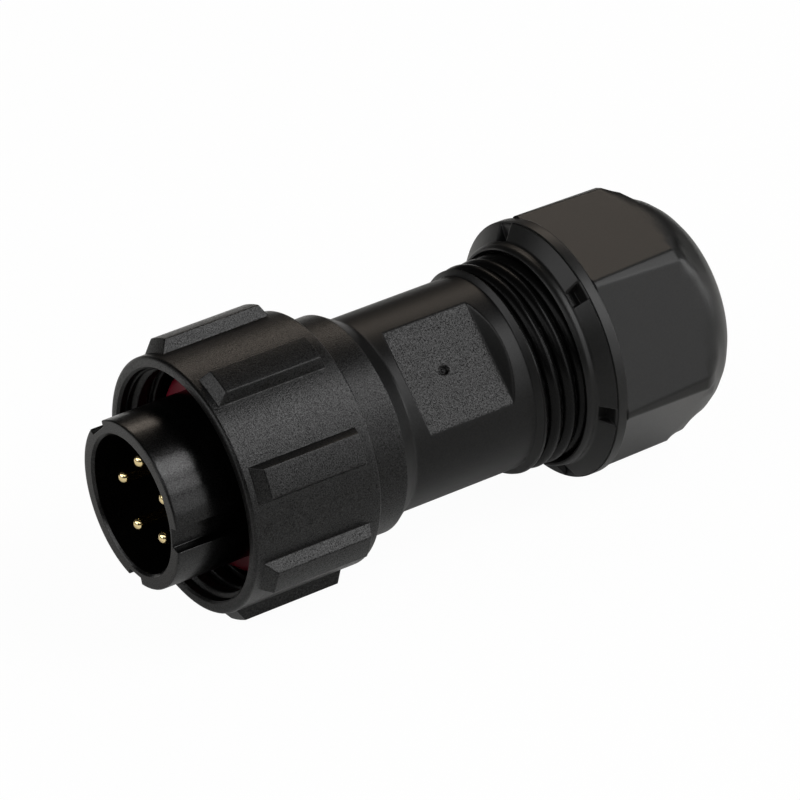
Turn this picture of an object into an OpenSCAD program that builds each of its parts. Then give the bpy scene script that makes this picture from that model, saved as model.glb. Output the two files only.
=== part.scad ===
// Five-pin waterproof circular connector: a cable plug with a coupling nut and a cable gland.
// Millimetres. The axis is X: the mating rim stands at X = 0, the cable leaves towards +X, and +Z is up.
// Angles round the axis are counted from +Y towards +Z. Profiles are pairs of radius and station.

/* [Mating shroud] */
// Outer diameter of the shroud that enters the mating half
shroud_d = 20; // [19.4:0.1:20.6]
// Bore of the shroud, and of the shell behind it
shroud_bore_d = 16.4; // [15.8:0.1:16.6]
// Distance from the rim to the seat of the face seal
shroud_len = 13; // [12.4:0.2:15]
// Lead-in chamfer at the mouth
mouth_lead = 0.3; // [0.1:0.05:0.5]
// Angle of each keyway
keyway_angles = [50, 181, 273]; // [0:1:360]
// Width of each keyway
keyway_widths = [3.6, 2.9, 2.7]; // [2:0.1:4]
// Depth of each keyway
keyway_depths = [0.85, 1.2, 0.9]; // [0.5:0.05:1.3]
// Wall left between the end of a keyway and the face seal
keyway_end_wall = 0.6; // [0.4:0.1:3]

/* [Plug shell] */
// Diameter of the hub that stops the coupling nut
hub_d = 24.8; // [24:0.1:25.4]
// Length of the hub
hub_len = 7.6; // [5:0.2:9]
// Diameter of the journal that the coupling nut turns on
journal_d = 22; // [21.4:0.1:22.6]
// Diameter of the spigot that screws into the back shell
spigot_d = 20.4; // [19.8:0.1:20.8]
// Length of the spigot
spigot_len = 4.8; // [4:0.1:5.2]
// Height of the inner ledge that stops the contact insert
ledge_h = 0.8; // [0.5:0.1:1.2]
// Thickness of that ledge
ledge_t = 1.4; // [1:0.1:2]

/* [Contacts] */
// Number of contacts
contact_count = 5; // [3:1:5]
// Diameter of the circle that the contacts stand on
contact_circle_d = 9.5; // [9:0.1:9.7]
// Angle of the first contact
contact_phase = 10; // [0:1:71]
// Diameter of a contact pin
contact_d = 1.6; // [1.2:0.1:2]
// Diameter of a contact where it sits in the insert
contact_seat_d = 2; // [1.8:0.1:2.4]
// Depth of the pin tips below the rim
contact_recess = 1.4; // [1:0.1:4]
// Depth of the insert's face below the rim
pit_depth = 11; // [9:0.2:11.6]
// Length of the insert behind the ledge
insert_len = 8.6; // [7:0.2:9]
// Diameter of the terminal block behind the insert
block_d = 13.2; // [13:0.1:13.4]
// Length of the terminal block
block_len = 15; // [13:0.5:16]
// Diameter of a contact's terminal barrel
barrel_d = 2.9; // [2.6:0.1:3]
// Bore for a wire in a terminal barrel
wire_hole_d = 1.8; // [1.4:0.1:2]
// Thread diameter of a terminal screw
screw_d = 1.7; // [1.4:0.1:1.8]
// Head diameter of a terminal screw
screw_head_d = 2.2; // [2:0.1:2.4]
// Length of the ring that locks the insert
lock_ring_len = 2.4; // [1.6:0.2:3]

/* [Seals] */
// Outer diameter of the face seal
face_seal_d = 24; // [23:0.1:24.4]
// Thickness of the face seal
face_seal_t = 1.6; // [1:0.1:2]
// Depth of the groove under the face seal
face_seal_groove = 0.4; // [0.2:0.1:0.6]
// Section diameter of the O-ring between the shells
o_ring_d = 1.1; // [0.9:0.1:1.3]

/* [Coupling nut] */
// Diameter of the nut between its ribs
nut_d = 30.5; // [30:0.1:31]
// Length of the nut
nut_len = 16.7; // [14:0.1:18]
// Bore of the nut at the root of its thread
nut_bore_d = 27.5; // [27:0.1:27.9]
// Thickness of the rear lip that traps the nut
lip_t = 2.6; // [2:0.1:3.4]
// Edge radius at the nut's mouth
nut_front_round = 0.4; // [0.2:0.1:0.8]
// Edge radius at the nut's rear
nut_rear_round = 0.4; // [0.2:0.1:1.2]
// Number of grip ribs
rib_count = 8; // [4:1:10]
// Diameter over the ribs
rib_d = 33.4; // [32.6:0.1:34.4]
// Width of a rib at its foot
rib_foot_w = 4.3; // [3.6:0.1:5]
// Width of a rib at its crest
rib_crest_w = 3.4; // [2.6:0.1:3.6]
// Angle of the first rib
rib_phase = 22.5; // [0:0.5:45]
// Distance from the mouth to the rib's front foot
rib_inset = 0.7; // [0.4:0.1:2]
// Length of a rib at its foot
rib_len = 14.6; // [10:0.1:15]
// Length of the slope at the front end of a rib
rib_front_slope = 1.5; // [0.5:0.1:2.5]
// Length of the slope at the rear end of a rib
rib_rear_slope = 0.7; // [0.4:0.1:2]

/* [Back shell] */
// Diameter of the collar behind the coupling nut
collar_d = 26.3; // [25.6:0.1:27]
// Length of the collar
collar_len = 4.84; // [4:0.1:7]
// Length of the taper from the collar to the neck
collar_taper = 1.36; // [0.8:0.1:2.5]
// Diameter of the neck
neck_d = 23.5; // [23.1:0.1:24]
// Length of the neck
neck_len = 16.6; // [15.5:0.1:20]
// Bore for the wires
wire_bore_d = 16.4; // [15:0.1:16.8]
// Width across the wrench flats
flat_af = 19.7; // [19.2:0.1:21]
// Length of a wrench flat
flat_len = 11; // [8:0.1:11.5]
// Distance from the start of the neck to a wrench flat
flat_inset = 3.3; // [2.5:0.1:4]
// Angle of the first wrench flat
flat_angle = 136.5; // [0:0.5:180]
// Diameter of the moulding gate's dimple on the first flat
gate_d = 1.3; // [0.8:0.1:2]
// Depth of that dimple
gate_depth = 0.25; // [0.1:0.05:0.4]

/* [Gland thread] */
// Diameter over the gland thread
thread_d = 25.14; // [24.8:0.1:25.6]
// Pitch of the gland thread
thread_pitch = 2; // [1.5:0.1:2.2]
// Depth of the gland thread
thread_depth = 1; // [0.7:0.05:1.1]
// Length of the taper from the neck to the thread
shoulder_taper = 1; // [0.6:0.1:2]
// Length of the plain shoulder ahead of the thread
shoulder_len = 0.7; // [0.4:0.1:1.5]
// Length of the threaded end
thread_len = 14.4; // [13:0.1:15]

/* [Gland nut] */
// Thread left open between the shoulder and the gland nut
gland_gap = 4.95; // [4:0.05:7]
// Length of the gland nut
gland_len = 22.75; // [22.2:0.05:23.6]
// Diameter of the front face
gland_face_d = 26.4; // [26.2:0.1:27]
// Length of the nose ahead of the bevel
nose_len = 1.25; // [0.6:0.05:2]
// Diameter of the nose where the bevel starts
nose_d = 27.5; // [27.1:0.1:28.4]
// Length of the bevel from the nose to the rim
bevel_len = 1.35; // [0.8:0.05:2.5]
// Diameter of the round rim
rim_d = 31.3; // [31:0.1:32]
// Length of the round rim
rim_len = 1.45; // [0.6:0.05:2]
// Width across the flats of the hexagon
hex_af = 27.8; // [27.6:0.1:28.6]
// Diameter over the corner lands at the rim
corner_d = 31.7; // [31.2:0.1:32]
// Taper of the corner lands on the radius
corner_draft = 0.25; // [0:0.05:0.5]
// Length of the hexagon up to its rear chamfer
hex_len = 12.3; // [10:0.1:12.6]
// Rear chamfer of the hexagon
hex_chamfer = 1.9; // [1:0.1:2]
// Angle of the first corner
hex_phase = 9.2; // [0:0.1:60]
// Diameter where the dome starts
dome_d = 28.4; // [28:0.1:28.8]
// Radius of the dome's edge
dome_r = 7; // [6:0.1:7]
// Width of a notch in the bevel
notch_w = 2.2; // [1.4:0.1:3]
// Diameter on which the notches end inwards
notch_floor_d = 27.4; // [27:0.1:28.4]
// Diameter of the cable hole
cable_hole_d = 13.6; // [12.6:0.1:14]
// Length of the cable hole
cable_hole_len = 2.2; // [1.4:0.1:2.6]

/* [Cable clamp] */
// Outer diameter of the clamp cage
cage_d = 19; // [18.4:0.1:19.2]
// Inner diameter of the clamp cage
cage_bore_d = 15.4; // [15:0.1:16]
// Length of the cage inside the back shell
cage_seat_len = 5.3; // [4.6:0.1:5.6]
// Number of fingers
finger_count = 10; // [6:1:12]
// Width of a slot between fingers
slot_w = 1.2; // [0.8:0.1:1.6]
// Thickness of the stop behind the gland seal
seal_stop_t = 1; // [0.6:0.1:1.6]
// Bore of the gland seal
gland_seal_bore_d = 11; // [10.6:0.1:11.4]
// Turns that the gland nut still tightens
tighten_turns = 1.5; // [0.5:0.25:1.5]

/* [Fits] */
// Clearance on the radius of pieces that seat in each other
fit_gap = 0.05; // [0.02:0.01:0.08]
// Clearance on the radius of pieces that turn or slide
running_gap = 0.1; // [0.05:0.01:0.15]
// Play at each end of the coupling nut's lip
end_gap = 0.2; // [0.1:0.05:0.3]
// Clearance between the cage's fingers and the nut's cone
cone_gap = 0.3; // [0.2:0.05:0.5]

/* [Hidden] */
$fn = 96;

black_nylon = "#242426";
smooth_nylon = "#1c1c1e";
gold = "#d9b256";
red_silicone = "#a31531";
grey_insert = "#2b2c30";
black_rubber = "#151515";
steel = "#b9bcc0";

// Overshoot of a cutting solid past the face it cuts
cut = 1;
// Chamfer of moulded edges
edge = 0.3;

// Stations of the plug shell and the coupling nut
x_seal = shroud_len - face_seal_t;
x_hub_end = shroud_len + hub_len;
x_lip = x_hub_end + end_gap;
x_nut_end = x_lip + lip_t;
x_nut = x_nut_end - nut_len;
x_collar = x_nut_end + end_gap;
x_spigot_end = x_collar + spigot_len;
o_ring_inset = 0.6;
x_o_ring = x_collar + o_ring_inset;

// Stations of the insert and its terminals
x_ledge_end = pit_depth + ledge_t;
x_step = x_ledge_end + insert_len;
x_block_end = x_step + block_len;
x_barrel = x_ledge_end + insert_len / 2;
barrel_recess = 0.5;
screw_inset = 4;
wire_hole_len = 7.5;
x_barrel_end = x_block_end - barrel_recess;
x_screw = x_block_end - screw_inset;

// Stations of the back shell
x_collar_end = x_collar + collar_len;
x_neck = x_collar_end + collar_taper;
x_neck_end = x_neck + neck_len;
x_shoulder = x_neck_end + shoulder_taper;
x_thread = x_shoulder + shoulder_len;
x_shell_end = x_thread + thread_len;
x_flat = x_neck + flat_inset;
x_flat_end = x_flat + flat_len;

// Stations of the gland
x_gland = x_thread + gland_gap;
x_nose = x_gland + nose_len;
x_rim = x_nose + bevel_len;
x_hex = x_rim + rim_len;
x_hex_end = x_hex + hex_len;
x_chamfer_end = x_hex_end + hex_chamfer;
x_gland_end = x_gland + gland_len;
x_hole = x_gland_end - cable_hole_len;
x_cage = x_shell_end - cage_seat_len;
x_cage_floor = x_cage - tighten_turns * thread_pitch - end_gap;

// Radii
shroud_r = shroud_d / 2;
bore_r = shroud_bore_d / 2;
ledge_r = bore_r - ledge_h;
seal_groove_r = shroud_r - face_seal_groove;
journal_r = journal_d / 2;
spigot_r = spigot_d / 2;
o_ring_groove_r = spigot_r - o_ring_d;
block_r = block_d / 2;
contact_circle_r = contact_circle_d / 2;
barrel_r = barrel_d / 2;
nut_r = nut_d / 2;
nut_bore_r = nut_bore_d / 2;
rib_r = rib_d / 2;
neck_r = neck_d / 2;
thread_r = thread_d / 2;
root_r = thread_r - thread_depth;
thread_play = 0.18;
gland_bore_r = thread_r + thread_play;
cavity_step = 0.55;
cavity_r = gland_bore_r - cavity_step;
hole_r = cable_hole_d / 2;
cage_r = cage_d / 2;
cage_bore_r = cage_bore_d / 2;
seal_stop_h = 1.1;
seal_stop_r = cage_bore_r - seal_stop_h;
finger_tip_t = 0.6;
finger_tip_r = cage_bore_r + finger_tip_t;
x_cone = x_hole - (cavity_r - hole_r);
thread_runout = 2.2;
gland_thread_len = x_cone - thread_runout - x_gland;
x_finger = x_cone + cavity_r - cage_r - cone_gap * sqrt(2);
x_finger_end = x_finger + cage_r - finger_tip_r;
x_gland_seal = x_cage + seal_stop_t;

// Puts the solids' axis on X, with angles from +Y towards +Z
module axial() {
    rotate([90, 0, 90]) children();
}

// Turns a child to an angle round the axis
module at_angle(angle) {
    rotate([0, 0, angle]) children();
}

// Profile of a plain bar between two stations
module bar(start, end, radius) {
    translate([0, start]) square([radius, end - start]);
}

// Profile of a ring between two stations and two radii
module band(start, end, inner, outer) {
    translate([inner, start]) square([outer - inner, end - start]);
}

// Profile of a bar with its two outer edges rounded
module round_bar(start, end, radius, front_round, rear_round) {
    bar(start + front_round, end - rear_round, radius);
    bar(start, end, radius - max(front_round, rear_round));
    bar(start, (start + end) / 2, radius - front_round);
    translate([radius - front_round, start + front_round]) circle(front_round);
    translate([radius - rear_round, end - rear_round]) circle(rear_round);
}

// Profile of a chamfered mouth that opens towards lower stations
module lead_in(station, radius, size) {
    polygon([
        [0, station - cut],
        [radius + size + cut, station - cut],
        [radius, station + size],
        [0, station + size]
    ]);
}

// Angle of a contact, counted from 1
function contact_angle(i) = contact_phase + (i - 1) * 360 / contact_count;

module keyway(angle, width, depth) {
    at_angle(angle)
        translate([shroud_r - depth, -width / 2, -cut])
            cube([depth + cut, width, x_seal - keyway_end_wall + cut]);
}

// Moulded shell: shroud, hub that stops the nut, journal and spigot
module plug_shell() {
    color(smooth_nylon) axial() difference() {
        rotate_extrude() difference() {
            union() {
                bar(0, x_seal, shroud_r);
                bar(x_seal, shroud_len, seal_groove_r);
                bar(shroud_len, x_hub_end, hub_d / 2);
                bar(x_hub_end, x_collar, journal_r);
                bar(x_collar, x_spigot_end, spigot_r);
            }
            bar(-cut, pit_depth, bore_r);
            lead_in(0, bore_r, mouth_lead);
            bar(pit_depth - cut, x_spigot_end + cut, ledge_r);
            bar(x_ledge_end, x_spigot_end + cut, bore_r);
            band(x_o_ring, x_o_ring + o_ring_d + 2 * running_gap, o_ring_groove_r, spigot_r + cut);
        }
        for (i = [0:len(keyway_angles) - 1])
            keyway(keyway_angles[i], keyway_widths[i], keyway_depths[i]);
    }
}

// Insulator that carries the contacts, with the terminal block behind it
module contact_insert() {
    color(grey_insert) axial() difference() {
        rotate_extrude() union() {
            bar(pit_depth, x_step, ledge_r - fit_gap);
            bar(x_ledge_end, x_step, bore_r - fit_gap);
            bar(x_step, x_block_end, block_r);
        }
        for (i = [1:contact_count]) at_angle(contact_angle(i)) {
            translate([contact_circle_r, 0, pit_depth - cut])
                cylinder(d = contact_seat_d + 2 * fit_gap, h = x_barrel - pit_depth + 2 * cut);
            translate([contact_circle_r, 0, x_barrel])
                cylinder(r = barrel_r + fit_gap, h = x_block_end - x_barrel + cut);
            translate([contact_circle_r, 0, x_screw]) rotate([0, 90, 0])
                cylinder(d = screw_head_d + 2 * running_gap, h = block_r);
        }
    }
}

// Round-nosed pin with a terminal barrel for a stripped wire
module contact_pin(i) {
    tip_r = contact_d / 2;
    color(gold) axial() at_angle(contact_angle(i)) translate([contact_circle_r, 0, 0]) difference() {
        union() {
            translate([0, 0, contact_recess + tip_r]) sphere(tip_r);
            translate([0, 0, contact_recess + tip_r])
                cylinder(r = tip_r, h = x_barrel - contact_recess);
            translate([0, 0, pit_depth]) cylinder(d = contact_seat_d, h = x_barrel - pit_depth);
            translate([0, 0, x_barrel]) cylinder(r = barrel_r, h = x_barrel_end - x_barrel);
        }
        translate([0, 0, x_barrel_end - wire_hole_len]) cylinder(d = wire_hole_d, h = wire_hole_len + cut);
        translate([0, 0, x_screw]) rotate([0, 90, 0])
            cylinder(d = screw_d + 2 * fit_gap, h = barrel_r + cut);
    }
}

// Slotted screws that press the wires into the barrels
module terminal_screws() {
    head_t = 0.8;
    slot_t = 0.4;
    head_seat = contact_circle_r + barrel_r + running_gap;
    shank_len = barrel_r - wire_hole_d / 2;
    color(steel) axial() for (i = [1:contact_count])
        at_angle(contact_angle(i)) translate([head_seat, 0, x_screw]) rotate([0, 90, 0]) difference() {
            union() {
                cylinder(d = screw_head_d, h = head_t);
                translate([0, 0, -shank_len]) cylinder(d = screw_d, h = shank_len + head_t / 2);
            }
            translate([-screw_head_d, -slot_t / 2, head_t / 2]) cube([2 * screw_head_d, slot_t, head_t]);
        }
}

// Threaded ring behind the insert, with two slots for a key
module insert_lock_ring() {
    key_slot_w = 1.6;
    color(smooth_nylon) axial() difference() {
        rotate_extrude() band(x_step, x_step + lock_ring_len, block_r + running_gap, bore_r - fit_gap);
        translate([-shroud_r, -key_slot_w / 2, x_step + lock_ring_len / 2])
            cube([shroud_d, key_slot_w, lock_ring_len]);
    }
}

// Flat seal with a rounded outer edge, in a groove round the root of the shroud
module face_seal() {
    bead = face_seal_t / 2;
    color(red_silicone) axial() rotate_extrude() {
        band(x_seal, shroud_len, seal_groove_r + fit_gap, face_seal_d / 2 - bead);
        translate([face_seal_d / 2 - bead, x_seal + bead]) circle(bead);
    }
}

// O-ring on the spigot
module shell_seal() {
    section_r = o_ring_d / 2;
    color(black_rubber) axial() rotate_extrude()
        translate([o_ring_groove_r + section_r, x_o_ring + running_gap + section_r]) circle(section_r);
}

// One grip rib: flanks that lean in, a round crest and a slope at each end
module grip_rib() {
    height = rib_r - nut_r;
    lean = (rib_foot_w - rib_crest_w) / 2 / height;
    sink = 0.6;
    x_rib = x_nut + rib_inset;
    x_rib_end = x_rib + rib_len;
    intersection() {
        translate([0, 0, x_rib]) linear_extrude(rib_len) polygon([
            [nut_r - sink, -rib_foot_w / 2],
            [nut_r, -rib_foot_w / 2],
            [rib_r + cut, -rib_crest_w / 2 + lean * cut],
            [rib_r + cut, rib_crest_w / 2 - lean * cut],
            [nut_r, rib_foot_w / 2],
            [nut_r - sink, rib_foot_w / 2]
        ]);
        rotate_extrude() polygon([
            [nut_r - sink - edge, x_rib],
            [nut_r - sink / 3, x_rib],
            [rib_r, x_rib + rib_front_slope],
            [rib_r, x_rib_end - rib_rear_slope],
            [nut_r - sink / 3, x_rib_end],
            [nut_r - sink - edge, x_rib_end]
        ]);
    }
}

// Ribbed nut that pulls the mating half in: free to turn on the journal, trapped by its rear lip
module coupling_nut() {
    color(black_nylon) axial() difference() {
        union() {
            rotate_extrude() round_bar(x_nut, x_nut_end, nut_r, nut_front_round, nut_rear_round);
            for (i = [0:rib_count - 1]) at_angle(rib_phase + i * 360 / rib_count) grip_rib();
        }
        rotate_extrude() {
            bar(x_nut - cut, x_lip, nut_bore_r);
            lead_in(x_nut, nut_bore_r, edge);
            bar(x_lip - cut, x_nut_end + cut, journal_r + running_gap);
        }
    }
}

// Cuts one wrench flat into the neck, with a ramp at each end
module wrench_flat() {
    floor_r = flat_af / 2;
    height = thread_r - floor_r;
    rotate([90, 0, 0]) translate([0, 0, -thread_r]) linear_extrude(2 * thread_r) polygon([
        [floor_r, x_flat],
        [floor_r, x_flat_end],
        [floor_r + height, x_flat_end + height],
        [floor_r + height, x_flat - height]
    ]);
}

// Moulded rear housing: collar, neck with wrench flats and the threaded end for the gland nut
module back_shell() {
    collar_r = collar_d / 2;
    socket_end = x_spigot_end + end_gap;
    color(black_nylon) axial() difference() {
        rotate_extrude() polygon([
            [0, x_collar],
            [collar_r - edge, x_collar],
            [collar_r, x_collar + edge],
            [collar_r, x_collar_end],
            [neck_r, x_neck],
            [neck_r, x_neck_end],
            [thread_r, x_shoulder],
            [thread_r, x_thread],
            [root_r, x_thread + edge],
            [root_r, x_shell_end - edge],
            [root_r - edge, x_shell_end],
            [0, x_shell_end]
        ]);
        rotate_extrude() {
            bar(x_collar - cut, socket_end, spigot_r + fit_gap);
            bar(socket_end - cut, x_shell_end, wire_bore_d / 2);
            bar(x_cage_floor, x_shell_end + cut, cage_r + running_gap);
        }
        for (side = [0, 180]) at_angle(flat_angle + side) wrench_flat();
        at_angle(flat_angle) translate([flat_af / 2 - gate_depth, 0, (x_flat + x_flat_end) / 2])
            rotate([0, 90, 0]) cylinder(d = gate_d, h = gate_depth + cut);
    }
}

// Ring with spring fingers, which the gland nut's cone presses in
module clamp_cage() {
    color(grey_insert) axial() difference() {
        rotate_extrude() polygon([
            [seal_stop_r, x_cage],
            [cage_r, x_cage],
            [cage_r, x_finger],
            [finger_tip_r, x_finger_end],
            [cage_bore_r, x_finger_end],
            [cage_bore_r, x_gland_seal],
            [seal_stop_r, x_gland_seal]
        ]);
        for (i = [0:finger_count - 1]) at_angle(i * 360 / finger_count)
            translate([cage_bore_r - cut, -slot_w / 2, x_shell_end])
                cube([cage_r - cage_bore_r + 2 * cut, slot_w, x_finger_end - x_shell_end + cut]);
    }
}

// Rubber sleeve with three sealing lips, squeezed on the cable by the fingers
module gland_seal() {
    seal_r = cage_bore_r - fit_gap;
    seal_bore_r = gland_seal_bore_d / 2;
    lip_count = 3;
    lip_r = 0.35;
    x_end = x_finger_end - edge;
    spacing = (x_end - x_gland_seal) / (lip_count + 1);
    color(black_rubber) axial() rotate_extrude() {
        band(x_gland_seal, x_end, seal_bore_r, seal_r);
        for (i = [1:lip_count])
            translate([seal_bore_r + lip_r / 2, x_gland_seal + i * spacing]) circle(lip_r);
    }
}

// Outer form of the hexagon behind the rim: corner lands, rear chamfer and dome
module gland_envelope() {
    corner_r = corner_d / 2;
    dome_base_r = dome_d / 2 - dome_r;
    polygon([
        [0, x_hex],
        [corner_r, x_hex],
        [corner_r - corner_draft, x_hex_end],
        [corner_r - corner_draft - hex_chamfer, x_chamfer_end],
        [0, x_chamfer_end]
    ]);
    translate([dome_base_r, x_gland_end - dome_r]) circle(dome_r);
    bar(x_chamfer_end - cut, x_gland_end, dome_base_r);
}

// Domed hexagon nut of the cable gland, with a notched round rim
module gland_nut() {
    hex_sides = 6;
    rim_r = rim_d / 2;
    hole_lead = 0.4;
    color(black_nylon) axial() difference() {
        union() {
            rotate_extrude() polygon([
                [0, x_gland],
                [gland_face_d / 2, x_gland],
                [nose_d / 2, x_nose],
                [rim_r, x_rim],
                [rim_r, x_hex],
                [0, x_hex]
            ]);
            intersection() {
                at_angle(hex_phase) translate([0, 0, x_hex])
                    cylinder(r = hex_af / 2 / cos(180 / hex_sides), h = gland_len, $fn = hex_sides);
                rotate_extrude() gland_envelope();
            }
        }
        rotate_extrude() polygon([
            [0, x_gland - cut],
            [gland_bore_r + edge + cut, x_gland - cut],
            [gland_bore_r, x_gland + edge],
            [gland_bore_r, x_gland + gland_thread_len],
            [cavity_r, x_gland + gland_thread_len],
            [cavity_r, x_cone],
            [hole_r, x_hole],
            [hole_r, x_gland_end - hole_lead],
            [hole_r + hole_lead + cut, x_gland_end + cut],
            [0, x_gland_end + cut]
        ]);
        for (i = [0:hex_sides - 1]) at_angle(hex_phase + i * 360 / hex_sides)
            translate([notch_floor_d / 2, -notch_w / 2, x_gland - cut])
                cube([rim_r, notch_w, x_rim - x_gland + cut]);
    }
}

plug_shell();
contact_insert();
for (i = [1:contact_count])
    contact_pin(i);
terminal_screws();
insert_lock_ring();
face_seal();
shell_seal();
coupling_nut();
back_shell();
clamp_cage();
gland_seal();
gland_nut();
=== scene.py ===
"""Looks of a waterproof circular connector: moulded black nylon, gold contacts and a red face seal.

Sizes are millimetres in the part's own frame. X runs along the axis, from the mating rim to the cable end,
and +Z is up. Angles round the axis are counted from +Y towards +Z.
"""

import logging
import math
from collections.abc import Callable
from dataclasses import dataclass
from enum import Enum, IntEnum

import bpy
import numpy as np
from mathutils import Matrix, Vector
from numpy.typing import NDArray


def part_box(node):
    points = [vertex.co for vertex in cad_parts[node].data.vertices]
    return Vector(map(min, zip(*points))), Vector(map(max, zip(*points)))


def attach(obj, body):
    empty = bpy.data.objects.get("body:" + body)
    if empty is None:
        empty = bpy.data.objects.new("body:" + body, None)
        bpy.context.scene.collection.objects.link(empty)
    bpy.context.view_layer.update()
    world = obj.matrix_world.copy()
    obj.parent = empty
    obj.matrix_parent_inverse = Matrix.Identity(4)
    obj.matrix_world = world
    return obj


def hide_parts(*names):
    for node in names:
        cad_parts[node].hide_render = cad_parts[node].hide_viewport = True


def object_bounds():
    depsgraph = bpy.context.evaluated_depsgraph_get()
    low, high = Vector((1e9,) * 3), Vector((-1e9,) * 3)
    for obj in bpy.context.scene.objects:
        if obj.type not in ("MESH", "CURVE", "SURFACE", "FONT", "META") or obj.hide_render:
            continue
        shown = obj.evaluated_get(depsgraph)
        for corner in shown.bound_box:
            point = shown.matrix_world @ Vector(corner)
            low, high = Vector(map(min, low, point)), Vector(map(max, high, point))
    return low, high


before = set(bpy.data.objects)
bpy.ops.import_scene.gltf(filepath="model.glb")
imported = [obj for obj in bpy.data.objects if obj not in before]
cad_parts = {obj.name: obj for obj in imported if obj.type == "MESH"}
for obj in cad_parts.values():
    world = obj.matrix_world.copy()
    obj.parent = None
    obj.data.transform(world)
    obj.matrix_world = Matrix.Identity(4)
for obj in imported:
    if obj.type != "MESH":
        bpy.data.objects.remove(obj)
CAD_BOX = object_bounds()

MM = 0.001
FULL_TURN = 2 * math.pi
LOG = logging.getLogger("connector")

# Samples of the density that crowds angles together
DENSITY_SAMPLES = 14401
# How close to a wall's radius a point of an outline counts as lying on that wall, in mm
ON_WALL = 0.01
# Detail of the noises that give tone and grain
CLOUD_DETAIL, GRAIN_DETAIL = 3.0, 2.0
# Stretch of the grain's noise over which the gloss and the shine go from least to most
GLOSS_SPAN, SHINE_SPAN = (0.3, 0.7), (0.25, 0.75)
# Roughness of a skin of resin
SKIN_ROUGHNESS = 0.16

Array = NDArray[np.float64]
Relief = Callable[[Array, Array, Array], Array]


class Body(Enum):
    """Bodies of the frame that the modelled pieces ride on."""

    HOUSING = "housing"
    COUPLING = "coupling"
    GLAND = "gland"


class Slot(Enum):
    """Material slots of the record."""

    SHELL = "shell_nylon"
    NUT = "nut_nylon"
    GLAND = "gland_nylon"
    SHROUD = "shroud_nylon"


class ShellZone(IntEnum):
    """Zones of the back shell, by the index of their finish."""

    NECK = 0
    COLLAR = 1
    FLAT = 2
    RAMP = 3
    THREAD = 4


# Shapes as arrays


def smooth_min(first: Array, second: Array, blend: float) -> Array:
    """Lower of two heights, with a round where they cross.

    The lower one is cut back by blend / 4 at the crossing, fading to nothing where they differ by blend.

    Args:
        first: one height.
        second: the other height.
        blend: difference over which the round reaches, in mm.

    Returns:
        The blended lower height.
    """
    nearness = np.maximum(blend - np.abs(first - second), 0) / blend
    return np.minimum(first, second) - nearness**2 * blend / 4


def smooth_max(first: Array, second: Array, blend: float) -> Array:
    """Higher of two heights, with a fillet where they cross."""
    return -smooth_min(-first, -second, blend)


def rise(value: Array, start: float, end: float) -> Array:
    """Smooth step from 0 at start to 1 at end: 3 s² - 2 s³ of the share s of the way."""
    share = np.clip((value - start) / (end - start), 0, 1)
    return share * share * (3 - 2 * share)


def turn_from(angle: Array, centre: float, period: float = FULL_TURN) -> Array:
    """Signed angle from the nearest of the centres that repeat every period, in radians."""
    return (angle - centre + period / 2) % period - period / 2


def crowded_angles(count: int, centres: list[float], reach: float, boost: float) -> Array:
    """Angles round the axis that lie closer together near the given centres.

    They are the inverse of the running sum of a density, which is 1 far from the centres and 1 + boost on them.

    Args:
        count: number of angles.
        centres: angles to crowd round, in radians.
        reach: half width of the crowding, in degrees.
        boost: extra density at a centre.

    Returns:
        The angles, rising from 0, in radians.
    """
    fine = np.linspace(0, FULL_TURN, DENSITY_SAMPLES)
    gap = np.abs(turn_from(fine[:, None], np.asarray(centres)[None, :])).min(axis=1)
    density = 1 + boost * np.exp(-((gap / math.radians(reach)) ** 4))
    running = np.concatenate([[0.0], np.cumsum((density[1:] + density[:-1]) / 2)])
    return np.interp(np.arange(count) / count, running / running[-1], fine)


def rounded_loop(corners: list[tuple[float, float, float, float]], arc_steps: int = 5) -> Array:
    """Closed outline with rounded corners and evenly divided edges.

    A corner with round r is replaced by the arc that touches both its edges, whose points turn evenly from
    one edge to the other.

    Args:
        corners: station, radius, round and the step along the edge that follows, for each corner, in mm.
        arc_steps: points on each arc.

    Returns:
        Points of the outline as rows of station and radius.
    """
    table = np.asarray(corners, float)
    point, bend, step = table[:, :2], table[:, 2:3], table[:, 3]
    back = np.roll(point, 1, axis=0) - point
    ahead = np.roll(point, -1, axis=0) - point
    back /= np.linalg.norm(back, axis=1, keepdims=True)
    ahead /= np.linalg.norm(ahead, axis=1, keepdims=True)
    half = np.arccos(np.clip((back * ahead).sum(axis=1, keepdims=True), -1, 1)) / 2
    middle = back + ahead
    centre = point + middle / np.linalg.norm(middle, axis=1, keepdims=True) * bend / np.sin(half)
    start = point + back * bend / np.tan(half) - centre
    end = point + ahead * bend / np.tan(half) - centre
    sweep = (math.pi - 2 * half)[:, None]
    share = np.linspace(0, 1, arc_steps)[None, :, None]
    arcs = centre[:, None] + (
        np.sin((1 - share) * sweep) * start[:, None] + np.sin(share * sweep) * end[:, None]
    ) / np.sin(sweep)
    runs = []
    for arc, following, spacing in zip(arcs, np.roll(arcs[:, 0], -1, axis=0), step):
        cuts = max(1, math.ceil(np.linalg.norm(following - arc[-1]) / spacing))
        along = np.linspace(0, 1, cuts + 1)[1:-1, None]
        runs += [arc, arc[-1] + (following - arc[-1]) * along]
    return np.concatenate(runs)


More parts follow.
